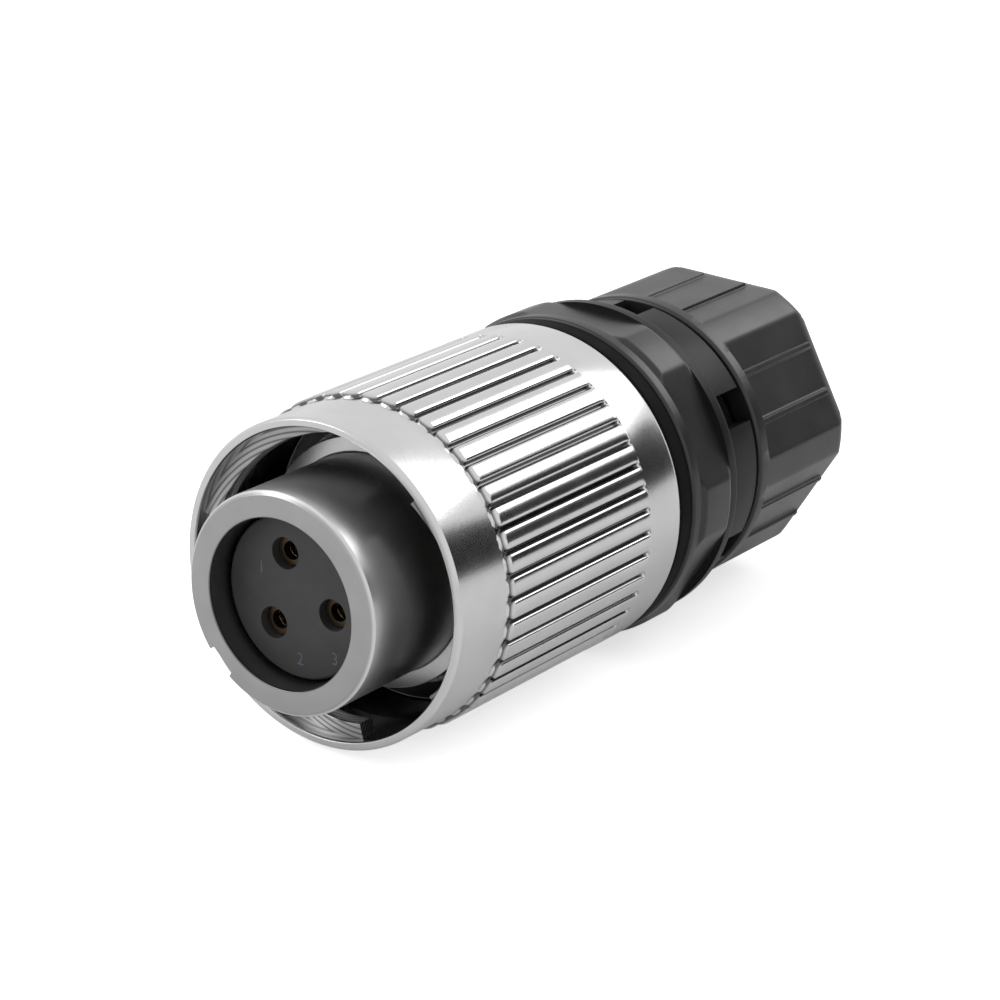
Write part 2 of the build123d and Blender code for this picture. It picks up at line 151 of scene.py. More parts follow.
# Bayonet ledges
LEDGE_COUNT = 3
LEDGE_INNER_R = 11.9
LEDGE_ROOT = 0.15
LEDGE_THICKNESS = 1.6
LEDGE_BEHIND_RIM = 0.9
LEDGE_LEAD = 12.6
LEDGE_SPAN = 95
LEDGE_ANGLE = 165
LEDGE_STEPS = 76

# Rear seal
SEAL_FRONT = front_of("rear_seal")
SEAL_R = radius_of("rear_seal")
SEAL_BORE_R = 12.9

# Back shell
BACK_FRONT = front_of("back_shell")
BACK_BORE_R = 9.03
COLLAR_R = 12.85
HEX_FRONT = rear_of("rear_seal")
HEX_RIM_LENGTH = 1.1
HEX_FLAT_LENGTH = 4.7
HEX_REAR_RIM_LENGTH = 1.2
FLATS_FRONT = HEX_FRONT + HEX_RIM_LENGTH
FLATS_REAR = FLATS_FRONT + HEX_FLAT_LENGTH
HEX_REAR = FLATS_REAR + HEX_REAR_RIM_LENGTH
HEX_FLAT_R = 13.8
HEX_CORNER_R = radius_of("back_shell")
HEX_EDGE_BLEND = 0.12
HEX_CORNER_RUN = 0.5
HEX_RIM_EDGE = 0.1
REAR_TURN = -3
NECK_R = 13.3
NECK_LENGTH = 5.0
SHOULDER = HEX_REAR + NECK_LENGTH
WINDOW_LENGTH = 4.6
WINDOW_HALF_ANGLE = 6.7
WINDOW_FLOOR = 11.0
CAVITY_R = 10.4
CAVITY_CONE_FRONT = 40.1
CAVITY_CONE_REAR = 45.0
CABLE_HOLE_R = 5.5
SPIGOT_R = 10.95
SPIGOT_BORE_R = 8.0
SPIGOT_REAR = rear_of("back_shell")
THREAD_PITCH = 1.5
THREAD_DEPTH = 0.36
THREAD_SINK = 0.12
THREAD_STEPS = 90
THREAD_GAP = 0.8
SPIGOT_ROUND = 0.3

# Gland nut
NUT_FRONT = front_of("gland_nut")
NUT_REAR = rear_of("gland_nut")
NUT_R = radius_of("gland_nut")
NUT_RIM_LENGTH = 1.3
NUT_FLATS_FRONT = NUT_FRONT + NUT_RIM_LENGTH
NUT_FLAT_R = 12.25
NUT_BORE_R = 11.3
NUT_BORE_REAR = rear_of("slip_washer") + FACE_GAP
NUT_CONE_R = 8.8
NUT_EXIT_R = 7.8
NUT_EXIT_LENGTH = 1.5
NUT_REAR_ROUND = 1.3
RIB_ANGLE = 10.3
RIB_HALF_WIDTH = 0.25
RIB_HEIGHT = 0.3
RIB_END_LENGTH = 1.25
RIB_REAR = NUT_REAR - RIB_END_LENGTH
FLAT_RUN_IN = 0.25
FLAT_END_DROP = 0.35


# Mesh helpers

SHARP_ANGLE = 32


def rounded(points, steps=5):
    """Closed profile from (radius, station, corner rounding) triples, as smooth arcs."""
    result = []
    count = len(points)
    for i, (x, y, radius) in enumerate(points):
        corner = Vector((x, y))
        if radius <= 0:
            result.append((x, y))
            continue
        before = Vector(points[i - 1][:2]) - corner
        after = Vector(points[(i + 1) % count][:2]) - corner
        angle = before.angle(after)
        reach = min(radius / math.tan(angle / 2), before.length * 0.48, after.length * 0.48)
        real = reach * math.tan(angle / 2)
        middle = (before.normalized() + after.normalized()).normalized()
        centre = corner + middle * (real / math.sin(angle / 2))
        first = corner + before.normalized() * reach - centre
        last = corner + after.normalized() * reach - centre
        turn = first.angle_signed(last)
        for step in range(steps + 1):
            part = -turn * step / steps
            c, s = math.cos(part), math.sin(part)
            point = centre + Vector((first.x * c - first.y * s, first.x * s + first.y * c))
            result.append((point.x, point.y))
    return result


def refine(profile, between):
    """Adds the points that a function gives for each line of the profile."""
    result = []
    for i, start in enumerate(profile):
        result.append(start)
        result += between(*start, *profile[(i + 1) % len(profile)])
    return result


def spin(name, profile, angles, shape=None):
    """Turns a closed (radius, station) profile about the Y axis, with a shape function on top."""
    vertices = []
    for degrees in angles:
        c, s = math.cos(math.radians(degrees)), math.sin(math.radians(degrees))
        for r, y in profile:
            if shape:
                r, y = shape(degrees, r, y)
            vertices.append((r * c * MM, y * MM, r * s * MM))
    rows, columns = len(angles), len(profile)
    faces = []
    for i in range(rows):
        j = (i + 1) % rows
        for k in range(columns):
            m = (k + 1) % columns
            faces.append((i * columns + k, i * columns + m, j * columns + m, j * columns + k))
    return finish_mesh(name, vertices, faces)


def finish_mesh(name, vertices, faces):
    """A piece in the scene, with its faces turned outwards and shaded smooth between edges."""
    mesh = bpy.data.meshes.new(name)
    mesh.from_pydata(vertices, [], faces)
    work = bmesh.new()
    work.from_mesh(mesh)
    bmesh.ops.recalc_face_normals(work, faces=work.faces)
    work.to_mesh(mesh)
    work.free()
    shade_smooth(mesh)
    piece = bpy.data.objects.new(name, mesh)
    bpy.context.scene.collection.objects.link(piece)
    return piece


def shade_smooth(mesh):
    """Shades the faces smooth, with sharp edges kept."""
    for polygon in mesh.polygons:
        polygon.use_smooth = True
    mesh.set_sharp_from_angle(angle=math.radians(SHARP_ANGLE))


def around(step, extra=()):
    """Angles once around, with extra ones where a shape needs them."""
    angles = {round(i * step, 4) for i in range(int(round(360 / step)))}
    angles.update(round(a % 360, 4) for a in extra)
    return sorted(angles)


def from_flat(degrees):
    """Angle from the nearest flat centre of the back shell's and the nut's hexagons."""
    return (degrees - REAR_TURN) % 60 - 30


def beside_flats(away, offsets):
    """Angles at both sides of each flat's centre, at a distance from it and offsets to that."""
    return [30 + REAR_TURN + 60 * k + side * (away + offset)
            for k in range(6) for side in (-1, 1) for offset in offsets]


def smooth(t):
    """Eases from 0 to 1."""
    t = max(0.0, min(1.0, t))
    return t * t * (3 - 2 * t)


# Materials

GRAIN_HEIGHT = 0.1
ZONE_BLEND = 0.06
AHEAD_OF_FACE = -1.0
# Painted shade: how much the base colour darkens in the recesses and on the nose's end face
GROOVE_PAINTED_SHADE = 0.2
MOUTH_PAINTED_SHADE = 0.65
FACE_PAINTED_SHADE = 0.6
BORE_PAINTED_SHADE = 0.4
LEDGE_LINE_PITCH = 0.45
LEDGE_LINE_SHADE = 0.35
NECK_SPECULAR = 0.12


def grey(value):
    """A colour without hue."""
    return value, value, value


def new_material(name):
    """A material with its nodes, its links and its shader."""
    material = bpy.data.materials.new(name)
    material.use_nodes = True
    nodes = material.node_tree.nodes
    shader = nodes["Principled BSDF"]
    return material, nodes, material.node_tree.links, shader


def noise_between(nodes, links, scale, low, high, detail=4.0):
    """A noise value between two limits, on the object's own coordinates, and the noise itself."""
    coordinates = nodes.new("ShaderNodeTexCoord")
    noise = nodes.new("ShaderNodeTexNoise")
    noise.inputs["Scale"].default_value = scale
    noise.inputs["Detail"].default_value = detail
    ramp = nodes.new("ShaderNodeMapRange")
    ramp.inputs["From Min"].default_value = 0.3
    ramp.inputs["From Max"].default_value = 0.7
    ramp.inputs["To Min"].default_value = low
    ramp.inputs["To Max"].default_value = high
    links.new(coordinates.outputs["Object"], noise.inputs["Vector"])
    links.new(noise.outputs["Fac"], ramp.inputs["Value"])
    return ramp.outputs["Result"], noise.outputs["Fac"]


def radius_and_station(nodes, links):
    """The distance from the Y axis and the place along it, in metres."""
    coordinates = nodes.new("ShaderNodeTexCoord")
    split = nodes.new("ShaderNodeSeparateXYZ")
    flat = nodes.new("ShaderNodeCombineXYZ")
    length = nodes.new("ShaderNodeVectorMath")
    length.operation = "LENGTH"
    links.new(coordinates.outputs["Object"], split.inputs["Vector"])
    links.new(split.outputs["X"], flat.inputs["X"])
    links.new(split.outputs["Z"], flat.inputs["Z"])
    links.new(flat.outputs["Vector"], length.inputs[0])
    return length.outputs["Value"], split.outputs["Y"]


def zone(nodes, links, radii, stations):
    """1 inside the smaller radius and between the two stations, blending to 0 outside."""
    radius, station = radius_and_station(nodes, links)
    factor = None
    for value, start, end in ((radius, radii[1], radii[0]),
                              (station, stations[0], stations[0] + ZONE_BLEND),
                              (station, stations[1], stations[1] - ZONE_BLEND)):
        step = nodes.new("ShaderNodeMapRange")
        step.inputs["From Min"].default_value = start * MM
        step.inputs["From Max"].default_value = end * MM
        links.new(value, step.inputs["Value"])
        if factor is None:
            factor = step.outputs["Result"]
        else:
            product = nodes.new("ShaderNodeMath")
            product.operation = "MULTIPLY"
            links.new(factor, product.inputs[0])
            links.new(step.outputs["Result"], product.inputs[1])
            factor = product.outputs["Value"]
    return factor


def shade_by(material, factor, shade):
    """Multiplies the base colour by a shade where the factor is 1."""
    nodes, links = material.node_tree.nodes, material.node_tree.links
    shader = nodes["Principled BSDF"]
    colour = shader.inputs["Base Color"].links[0].from_socket
    mix = nodes.new("ShaderNodeMix")
    mix.data_type = "RGBA"
    mix.blend_type = "MULTIPLY"
    mix.inputs["B"].default_value = (*grey(shade), 1)
    links.new(factor, mix.inputs["Factor"])
    links.new(colour, mix.inputs["A"])
    links.new(mix.outputs["Result"], shader.inputs["Base Color"])


def darken_zone(material, radii, stations, shade):
    """Paints shade into the base colour inside a zone."""
    nodes, links = material.node_tree.nodes, material.node_tree.links
    shade_by(material, zone(nodes, links, radii, stations), shade)


def turned_lines(material, pitch, shade):
    """Dark lines around the Y axis, as a cutting tool leaves them."""
    nodes, links = material.node_tree.nodes, material.node_tree.links
    radius, station = radius_and_station(nodes, links)
    place = nodes.new("ShaderNodeMath")
    place.operation = "ADD"
    phase = nodes.new("ShaderNodeMath")
    phase.operation = "MULTIPLY"
    phase.inputs[1].default_value = 2 * math.pi / (pitch * MM)
    wave = nodes.new("ShaderNodeMath")
    wave.operation = "SINE"
    line = nodes.new("ShaderNodeMapRange")
    line.inputs["From Min"].default_value = -0.2
    links.new(radius, place.inputs[0])
    links.new(station, place.inputs[1])
    links.new(place.outputs["Value"], phase.inputs[0])
    links.new(phase.outputs["Value"], wave.inputs[0])
    links.new(wave.outputs["Value"], line.inputs["Value"])
    shade_by(material, line.outputs["Result"], shade)


def matt_zone(material, radii, stations, specular):
    """Lowers the specular level inside a zone."""
    nodes, links = material.node_tree.nodes, material.node_tree.links
    shader = nodes["Principled BSDF"]
    level = nodes.new("ShaderNodeMapRange")
    level.inputs["To Min"].default_value = shader.inputs["Specular IOR Level"].default_value
    level.inputs["To Max"].default_value = specular
    links.new(zone(nodes, links, radii, stations), level.inputs["Value"])
    links.new(level.outputs["Result"], shader.inputs["Specular IOR Level"])


def surface(name, dark, light, rough, scale, grain, bump, metallic=0.0, specular=0.5, edge=0.0):
    """Base colour and roughness vary a little, and a fine grain gives the surface its texture."""
    material, nodes, links, shader = new_material(name)
    shader.inputs["Metallic"].default_value = metallic
    shader.inputs["Specular IOR Level"].default_value = specular
    mix, _ = noise_between(nodes, links, scale, 0.0, 1.0)
    colour = nodes.new("ShaderNodeMix")
    colour.data_type = "RGBA"
    colour.inputs["A"].default_value = (*dark, 1)
    colour.inputs["B"].default_value = (*light, 1)
    links.new(mix, colour.inputs["Factor"])
    links.new(colour.outputs["Result"], shader.inputs["Base Color"])
    roughness, _ = noise_between(nodes, links, scale * 0.6, rough[0], rough[1])
    links.new(roughness, shader.inputs["Roughness"])
    _, height = noise_between(nodes, links, grain, 0.0, 1.0, detail=2.0)
    relief = nodes.new("ShaderNodeBump")
    relief.inputs["Strength"].default_value = bump
    relief.inputs["Distance"].default_value = GRAIN_HEIGHT * MM
    links.new(height, relief.inputs["Height"])
    if edge:
        bevel = nodes.new("ShaderNodeBevel")
        bevel.inputs["Radius"].default_value = edge * MM
        links.new(bevel.outputs["Normal"], relief.inputs["Normal"])
    links.new(relief.outputs["Normal"], shader.inputs["Normal"])
    return material


# Nickel of the ring: painted shade, darker on the floors of the grooves and inside the mouth,
# where these recesses lie in shade
nickel = surface("satin_nickel", grey(0.57), grey(0.62), (0.17, 0.22),
                 metallic=1.0, scale=260.0, grain=3000.0, bump=0.03)
darken_zone(nickel, (BAND_R + 0.24, BAND_R + 0.4), (KNURL_FRONT + 0.12, KNURL_REAR - 0.08),
            GROOVE_PAINTED_SHADE)
darken_zone(nickel, (MOUTH_R + 0.1, MOUTH_R + 0.2), (RING_FRONT + 0.22, WEB_FRONT + 0.62),
            MOUTH_PAINTED_SHADE)
# The ledges sit inside the mouth: a darker copy of the ring's nickel, painted shade
ledge_nickel_painted_shade = surface("ledge_nickel_painted_shade", grey(0.36), grey(0.42), (0.29, 0.33),
                       metallic=1.0, scale=260.0, grain=3000.0, bump=0.03)
turned_lines(ledge_nickel_painted_shade, LEDGE_LINE_PITCH, LEDGE_LINE_SHADE)

# Nickel of the shell: painted shade, darker on the nose's end face than on its outside of the
# same metal, which gives the outside a brighter highlight, and darker in its bore, which lies in
# shade
nickel_shell = surface("shell_nickel", grey(0.58), grey(0.64), (0.29, 0.33),
                       metallic=1.0, scale=300.0, grain=3000.0, bump=0.005)
darken_zone(nickel_shell, (NOSE_R - 0.25, NOSE_R - 0.1), (AHEAD_OF_FACE, 0.25), FACE_PAINTED_SHADE)
darken_zone(nickel_shell, (NOSE_BORE_R + 0.04, NOSE_BORE_R + 0.14), (AHEAD_OF_FACE, 3.0),
            BORE_PAINTED_SHADE)

# Moulded plastics and rubber: the back shell is matt from the hexagon's rear rim to the nut
black_plastic = surface("black_nylon", grey(0.012), grey(0.018), (0.30, 0.38),
                        scale=300.0, grain=2600.0, bump=0.05)
matt_zone(black_plastic, (CREST_R + 0.1, CREST_R + 0.2), (FLATS_REAR - 0.06, SHOULDER + 0.14),
          NECK_SPECULAR)
nut_plastic = surface("nut_nylon", grey(0.012), grey(0.018), (0.30, 0.38),
                      scale=300.0, grain=2600.0, bump=0.05)
black_rubber = surface("black_rubber", grey(0.003), grey(0.005), (0.6, 0.7),
                       scale=500.0, grain=2000.0, bump=0.08, specular=0.08)
insert_plastic = surface("insert_grey", (0.030, 0.030, 0.031), (0.042, 0.042, 0.043),
                         (0.5, 0.62), scale=420.0, grain=2800.0, bump=0.06)
white_plastic = surface("washer_plastic", (0.74, 0.73, 0.70), (0.82, 0.81, 0.78), (0.4, 0.5),
                        scale=500.0, grain=2500.0, bump=0.03, edge=0.05)
cage_plastic = surface("cage_nylon", grey(0.12), grey(0.17), (0.42, 0.52),
                       scale=500.0, grain=2500.0, bump=0.05, edge=0.06)
number_paint = surface("number_paint", (0.07, 0.085, 0.105), (0.10, 0.12, 0.15), (0.5, 0.6),
                       scale=900.0, grain=3000.0, bump=0.02)

# Metals inside
brass = surface("contact_metal", (0.62, 0.50, 0.26), (0.74, 0.62, 0.36), (0.2, 0.32),
                metallic=1.0, scale=900.0, grain=4000.0, bump=0.02, edge=0.05)
steel = surface("spring_steel", (0.50, 0.50, 0.49), (0.60, 0.60, 0.59), (0.22, 0.34),
                metallic=1.0, scale=700.0, grain=4000.0, bump=0.02, edge=0.05)
# Near black: painted shade of the contact holes, in which the hoods sit
hood_metal_painted_shade = surface("hood_steel_painted_shade", (0.07, 0.05, 0.03), (0.10, 0.07, 0.045), (0.35, 0.5),
                     metallic=1.0, scale=900.0, grain=4000.0, bump=0.02, edge=0.04)


# Plug shell: nose with its keyway, flange, journal

def keyway(degrees, r, s):
    """Cuts the notch into the outside of the nose, with a flat floor."""
    away = math.radians((degrees - KEYWAY_ANGLE + 180) % 360 - 180)
    if s < KEYWAY_LENGTH and r > NOSE_R - KEYWAY_DEPTH and abs(away) < 0.5:
        if abs((NOSE_R - KEYWAY_DEPTH) * math.tan(away)) < KEYWAY_WIDTH / 2:
            r = min(r, (NOSE_R - KEYWAY_DEPTH) / math.cos(away))
    return r, s


def nose_stations(r, s, r2, s2):
    """Points a millimetre apart on the long lines of the nose, inside and outside."""
    low, high = min(s, s2), max(s, s2)
    if high - low <= 1.5 or low < -TINY or high > FLANGE_FRONT + TINY:
        return []
    parts = int(high - low)
    return [(r + (r2 - r) * part / parts, s + (s2 - s) * part / parts)
            for part in range(1, parts)]


shell_profile = rounded([
    (NOSE_BORE_R, 0, 0.12), (NOSE_R - NOSE_CHAMFER, 0, 0.1), (NOSE_R, NOSE_CHAMFER, 0.15),
    (NOSE_R, FLANGE_FRONT, 0.15), (FLANGE_R, FLANGE_FRONT, 0.15), (FLANGE_R, FLANGE_REAR, 0.1),
    (JOURNAL_R, FLANGE_REAR, 0), (JOURNAL_R, SHELL_REAR, 0.1), (SHELL_BORE_R, SHELL_REAR, 0.1),
    (SHELL_BORE_R, RETAINER_GROOVE_REAR, 0), (RETAINER_GROOVE_R, RETAINER_GROOVE_REAR, 0),
    (RETAINER_GROOVE_R, RETAINER_GROOVE_FRONT, 0), (SHELL_BORE_R, RETAINER_GROOVE_FRONT, 0),
    (SHELL_BORE_R, INSERT_SEAT, 0), (NOSE_BORE_R, INSERT_SEAT, 0),
])
keyway_half_angle = math.degrees(math.atan(KEYWAY_WIDTH / 2 / (NOSE_R - KEYWAY_DEPTH)))
keyway_angles = [KEYWAY_ANGLE + side * (keyway_half_angle + offset)
                 for side in (-1, 1) for offset in (-0.6, -0.05, 0.05, 0.6)]
shell = spin("plug_shell_dressed", refine(shell_profile, nose_stations),
             around(1.5, keyway_angles), keyway)
shell.data.materials.append(nickel_shell)
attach(shell, "shell")
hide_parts("plug_shell")


# Disc spring: a coned washer, which the ring's float flattens against the flange

spring = spin("disc_spring_dressed", [
    (FLANGE_R, FLANGE_REAR), (FLANGE_R, FLANGE_REAR + SPRING_STRIP),
    (SPRING_BORE_R, FLANGE_REAR + SPRING_HEIGHT),
    (SPRING_BORE_R, FLANGE_REAR + SPRING_HEIGHT - SPRING_STRIP),
], around(3.0))
spring.data.materials.append(steel)
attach(spring, "shell")
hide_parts("disc_spring")
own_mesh(spring)


# Coupling ring: turned body with rounded straight knurl

RIDGE_FRONT_STEPS = (0.01, 0.03, 0.07, 0.12, 0.18, 0.26, 0.36, 0.48, 0.62, 0.76, 0.9)
RIDGE_MIDDLE_STEPS = (3, 6, 9, 12, 15, 18)
RIDGE_REAR_STEPS = (0.7, 0.6, 0.5, 0.4, 0.3, 0.2, 0.12, 0.06, 0.02)
ACROSS_STEPS = (0.03, 0.06, 0.09, 0.12, 0.16, 0.24, 0.33, 0.42)


def knurl(degrees, r, s):
    """Cuts the grooves into the outside of the ring, with rounded ridges and ridge ends."""
    if r < BAND_R - TINY or s < KNURL_FRONT - TINY or s > KNURL_REAR:
        return r, s
    along = degrees / KNURL_PITCH
    across = abs(along - round(along)) * 2
    front = max(0.0, min(1.0, (s - KNURL_FRONT) / RIDGE_FRONT))
    rear = max(0.0, min(1.0, (KNURL_REAR - s) / RIDGE_REAR))
    nose = 1 - (1 - front) ** 2
    tail = math.sqrt(max(0.0, 1 - (1 - rear) ** 2))
    valley = GROOVE_FLOOR + GROOVE_END_WIDENING * (1 - nose)
    wall = smooth((across - valley) / GROOVE_FLANK)
    crown = RIDGE_CROWN * (1 - across) ** 2 * tail
    floor = BAND_R + GROOVE_LIFT
    height = (1 - (1 - wall) * tail) * (1 - crown / (CREST_R - BAND_R))
    return floor + (r - floor) * height * nose, s


def ridge_stations(r, s, r2, s2):
    """Points along the ridges, close together at both rounded ends."""
    if r < CREST_R - TINY or s > KNURL_FRONT + 2 * TINY or s2 < KNURL_REAR - TINY:
        return []
    return ([(r, s + d) for d in RIDGE_FRONT_STEPS + RIDGE_MIDDLE_STEPS]
            + [(r, s2 - d) for d in RIDGE_REAR_STEPS])


ring_profile = rounded([
    (MOUTH_R + MOUTH_CHAMFER_DEPTH, RING_FRONT, 0.1),
    (BAND_R - RIM_CHAMFER_DEPTH, RING_FRONT, 0.1), (BAND_R, RING_FRONT + RIM_CHAMFER_LENGTH, 0.2),
    (BAND_R, KNURL_FRONT - KNURL_FOOT, 0), (BAND_R, KNURL_FRONT, 0),
    (CREST_R, KNURL_FRONT + TINY, 0), (CREST_R, KNURL_REAR, 0),
    *((CREST_R, KNURL_REAR + step, 0) for step in REAR_BAND_STEPS), (CREST_R, RING_REAR, 0.7),
    (SKIRT_BORE_R, RING_REAR, 0.1), (SKIRT_BORE_R, WEB_REAR, 0.2), (WEB_BORE_R, WEB_REAR, 0),
    (WEB_BORE_R, WEB_FRONT, 0), (MOUTH_R, WEB_FRONT, 0.2),
    (MOUTH_R, RING_FRONT + MOUTH_CHAMFER_LENGTH, 0.05),
])
ring_angles = sorted(
    (line + part) * KNURL_PITCH for line in range(KNURL_COUNT)
    for part in (0, *ACROSS_STEPS, *(-step for step in ACROSS_STEPS)))
ring = spin("coupling_ring_dressed", refine(ring_profile, ridge_stations), ring_angles, knurl)
ring.data.materials.append(nickel)
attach(ring, "ring")


# Bayonet ledges, in one piece, inside the ring's mouth

def ledge(start, first):
    """One helical ledge: its vertices, and its faces as numbered from the first vertex."""
    section = rounded([
        (LEDGE_INNER_R, -LEDGE_THICKNESS / 2, 0.15),
        (MOUTH_R + LEDGE_ROOT, -LEDGE_THICKNESS / 2, 0),
        (MOUTH_R + LEDGE_ROOT, LEDGE_THICKNESS / 2, 0),
        (LEDGE_INNER_R, LEDGE_THICKNESS / 2, 0.15),
    ], steps=3)
    vertices = []
    faces = []
    count = len(section)
    for i in range(LEDGE_STEPS + 1):
        turn = LEDGE_SPAN * i / LEDGE_STEPS
        angle = math.radians(start - turn)
        middle = RING_FRONT + LEDGE_BEHIND_RIM + LEDGE_THICKNESS / 2 + LEDGE_LEAD * turn / 360
        for r, s in section:
            vertices.append((r * math.cos(angle) * MM, (middle + s) * MM,
                             r * math.sin(angle) * MM))
    for i in range(LEDGE_STEPS):
        near, far = first + i * count, first + (i + 1) * count
        for k in range(count):
            m = (k + 1) % count
            faces.append((near + k, near + m, far + m, far + k))
    faces.append(tuple(first + k for k in range(count)))
    faces.append(tuple(first + LEDGE_STEPS * count + k for k in reversed(range(count))))
    return vertices, faces


ledge_vertices = []
ledge_faces = []
for number in range(LEDGE_COUNT):
    vertices, faces = ledge(LEDGE_ANGLE + 360 / LEDGE_COUNT * number, len(ledge_vertices))
    ledge_vertices += vertices
    ledge_faces += faces
ledges = finish_mesh("bayonet_ledges", ledge_vertices, ledge_faces)
ledges.data.materials.append(ledge_nickel_painted_shade)
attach(ledges, "ring")
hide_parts("coupling_ring")


# Rear seal

seal = spin("rear_seal_dressed", rounded([
    (SEAL_BORE_R, SEAL_FRONT, 0.1), (SEAL_R, SEAL_FRONT, 0.25), (SEAL_R, HEX_FRONT, 0.2),
    (SEAL_BORE_R, HEX_FRONT, 0.1),
]), around(1.5))
seal.data.materials.append(black_rubber)
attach(seal, "shell")
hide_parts("rear_seal")


# Back shell: hexagon, windowed neck, threaded spigot

EDGE_OFFSETS = (-0.5, -0.04, 0.04, 0.5)


def back_shape(degrees, r, s):
    """Cuts the six flats, with eased edges, and the windows, and raises the spigot's thread."""
    away = from_flat(degrees)
    if FLATS_FRONT + TINY <= s <= FLATS_REAR - TINY and r > NECK_R + TINY:
        flat = HEX_FLAT_R / math.cos(math.radians(away))
        gap = max(0.0, 1 - abs(r - flat) / HEX_EDGE_BLEND)
        r = min(r, flat) - gap * gap * HEX_EDGE_BLEND / 4
    elif SHOULDER - WINDOW_LENGTH < s < SHOULDER + TINY and r > WINDOW_FLOOR:
        if abs(away) < WINDOW_HALF_ANGLE:
            r = min(r, WINDOW_FLOOR / math.cos(math.radians(away)))
    elif SHOULDER + THREAD_GAP < s < SPIGOT_REAR - SPIGOT_ROUND and r > SPIGOT_R - TINY:
        phase = (s / THREAD_PITCH - degrees / 360) % 1
        r = r - THREAD_SINK + THREAD_DEPTH * (1 - abs(2 * phase - 1))
    return r, s


def back_stations(r, s, r2, s2):
    """Points at the windows' front edge on the neck, and along the thread on the spigot."""
    if abs(r - r2) > TINY or s2 <= s + 1 or s < HEX_REAR:
        return []
    if r > NECK_R - TINY:
        edge = SHOULDER - WINDOW_LENGTH
        return [(r, edge + offset) for offset in EDGE_OFFSETS]
    return [(r, s + (s2 - s) * k / THREAD_STEPS) for k in range(1, THREAD_STEPS)]


back_profile = rounded([
    (BACK_BORE_R, BACK_FRONT, 0), (COLLAR_R, BACK_FRONT, 0.2), (COLLAR_R, HEX_FRONT, 0),
    (CREST_R, HEX_FRONT, 0.3), (CREST_R, FLATS_FRONT - HEX_RIM_EDGE, 0),
    (CREST_R, FLATS_FRONT, 0), (CREST_R, FLATS_FRONT + 2 * TINY, 0),
    (HEX_CORNER_R, FLATS_FRONT + HEX_CORNER_RUN, 0.8),
    (HEX_CORNER_R, FLATS_REAR - HEX_CORNER_RUN, 0.8),
    (CREST_R, FLATS_REAR - 2 * TINY, 0), (CREST_R, FLATS_REAR, 0),
    (CREST_R, FLATS_REAR + HEX_RIM_EDGE, 0), (CREST_R, HEX_REAR, 0.3), (NECK_R, HEX_REAR, 0.3),
    (NECK_R, SHOULDER, 0.12), (SPIGOT_R, SHOULDER, 0.05), (SPIGOT_R, SPIGOT_REAR, SPIGOT_ROUND),
    (SPIGOT_BORE_R, SPIGOT_REAR, 0.1), (SPIGOT_BORE_R, SHOULDER, 0),
    (CABLE_HOLE_R, SHOULDER, 0.2), (CABLE_HOLE_R, CAVITY_CONE_REAR, 0),
    (CAVITY_R, CAVITY_CONE_FRONT, 0), (CAVITY_R, SHELL_REAR, 0), (BACK_BORE_R, SHELL_REAR, 0),
])
corner_angle = math.degrees(math.acos(HEX_FLAT_R / HEX_CORNER_R))
back_angles = (beside_flats(WINDOW_HALF_ANGLE, EDGE_OFFSETS)
               + beside_flats(corner_angle, (-0.9, -0.6, -0.3, 0, 0.3, 0.6, 0.9)))
back = spin("back_shell_dressed", refine(back_profile, back_stations), around(2.0, back_angles),
            back_shape)
back.data.materials.append(black_plastic)
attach(back, "shell")
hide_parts("back_shell")


# Gland nut: round front rim, then six flats with two grip ribs on each

FLAT_STEPS = (0.05, 0.1, 0.15, 0.2, 0.25, 0.6, 3, 5, 7, 9, 10.5, 11.6, 11.75, 11.9, 12.05, 12.15)
RIB_STEPS = (0.15, 0.2, 0.25, 0.31, 0.36)


def nut_shape(degrees, r, s):
    """Cuts the six flats behind the rim and raises the ribs on them."""
    away = from_flat(degrees)
    if r < NUT_BORE_R + 0.7 or s < NUT_FLATS_FRONT - TINY:
        return r, s
    flat = NUT_FLAT_R / math.cos(math.radians(away))
    rise = smooth((s - NUT_FLATS_FRONT) / FLAT_RUN_IN)
    limit = flat + (NUT_R - flat) * (1 - rise) if flat < NUT_R else NUT_R
    round_end = NUT_R - r if s > NUT_REAR - NUT_REAR_ROUND else 0
    cut = min(r, limit - FLAT_END_DROP * round_end)
    if NUT_FLATS_FRONT <= s <= RIB_REAR:
        offset = math.radians(abs(abs(away) - RIB_ANGLE)) * NUT_FLAT_R
        if offset < RIB_HALF_WIDTH + 0.12:
            side = smooth((RIB_HALF_WIDTH + 0.1 - offset) / 0.2)
            cut = min(NUT_R, cut + RIB_HEIGHT * side * smooth((RIB_REAR - s) / 0.3))
    return cut, s


def nut_stations(r, s, r2, s2):
    """Points along the flats, close together where they start and where the ribs end."""
    if abs(s - NUT_FLATS_FRONT) > TINY or r < NUT_R - TINY:
        return []
    return [(r + (r2 - r) * d / (s2 - s), s + d) for d in FLAT_STEPS if s + d < s2]


nut_profile = rounded([
    (NUT_BORE_R, NUT_FRONT, 0.3), (NUT_R, NUT_FRONT, 0.35), (NUT_R, NUT_FLATS_FRONT, 0),
    (NUT_R, NUT_REAR, NUT_REAR_ROUND), (NUT_EXIT_R, NUT_REAR, 0.4),
    (NUT_EXIT_R, NUT_REAR - NUT_EXIT_LENGTH, 0.1), (NUT_CONE_R, NUT_BORE_REAR, 0),
    (NUT_BORE_R, NUT_BORE_REAR, 0),
])
rib_offsets = [math.degrees(d / NUT_FLAT_R) for d in (0, *RIB_STEPS, *(-d for d in RIB_STEPS))]
nut = spin("gland_nut_dressed", refine(nut_profile, nut_stations),
           around(1.0, beside_flats(RIB_ANGLE, rib_offsets)), nut_shape)
nut.data.materials.append(nut_plastic)
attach(nut, "nut")
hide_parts("gland_nut")


# Front insulator: recessed face with its three contact holes

# A radius just above zero, whose vertices are then joined into one on the axis
AXIS_R = 0.0001
JOINING_DISTANCE = 0.002


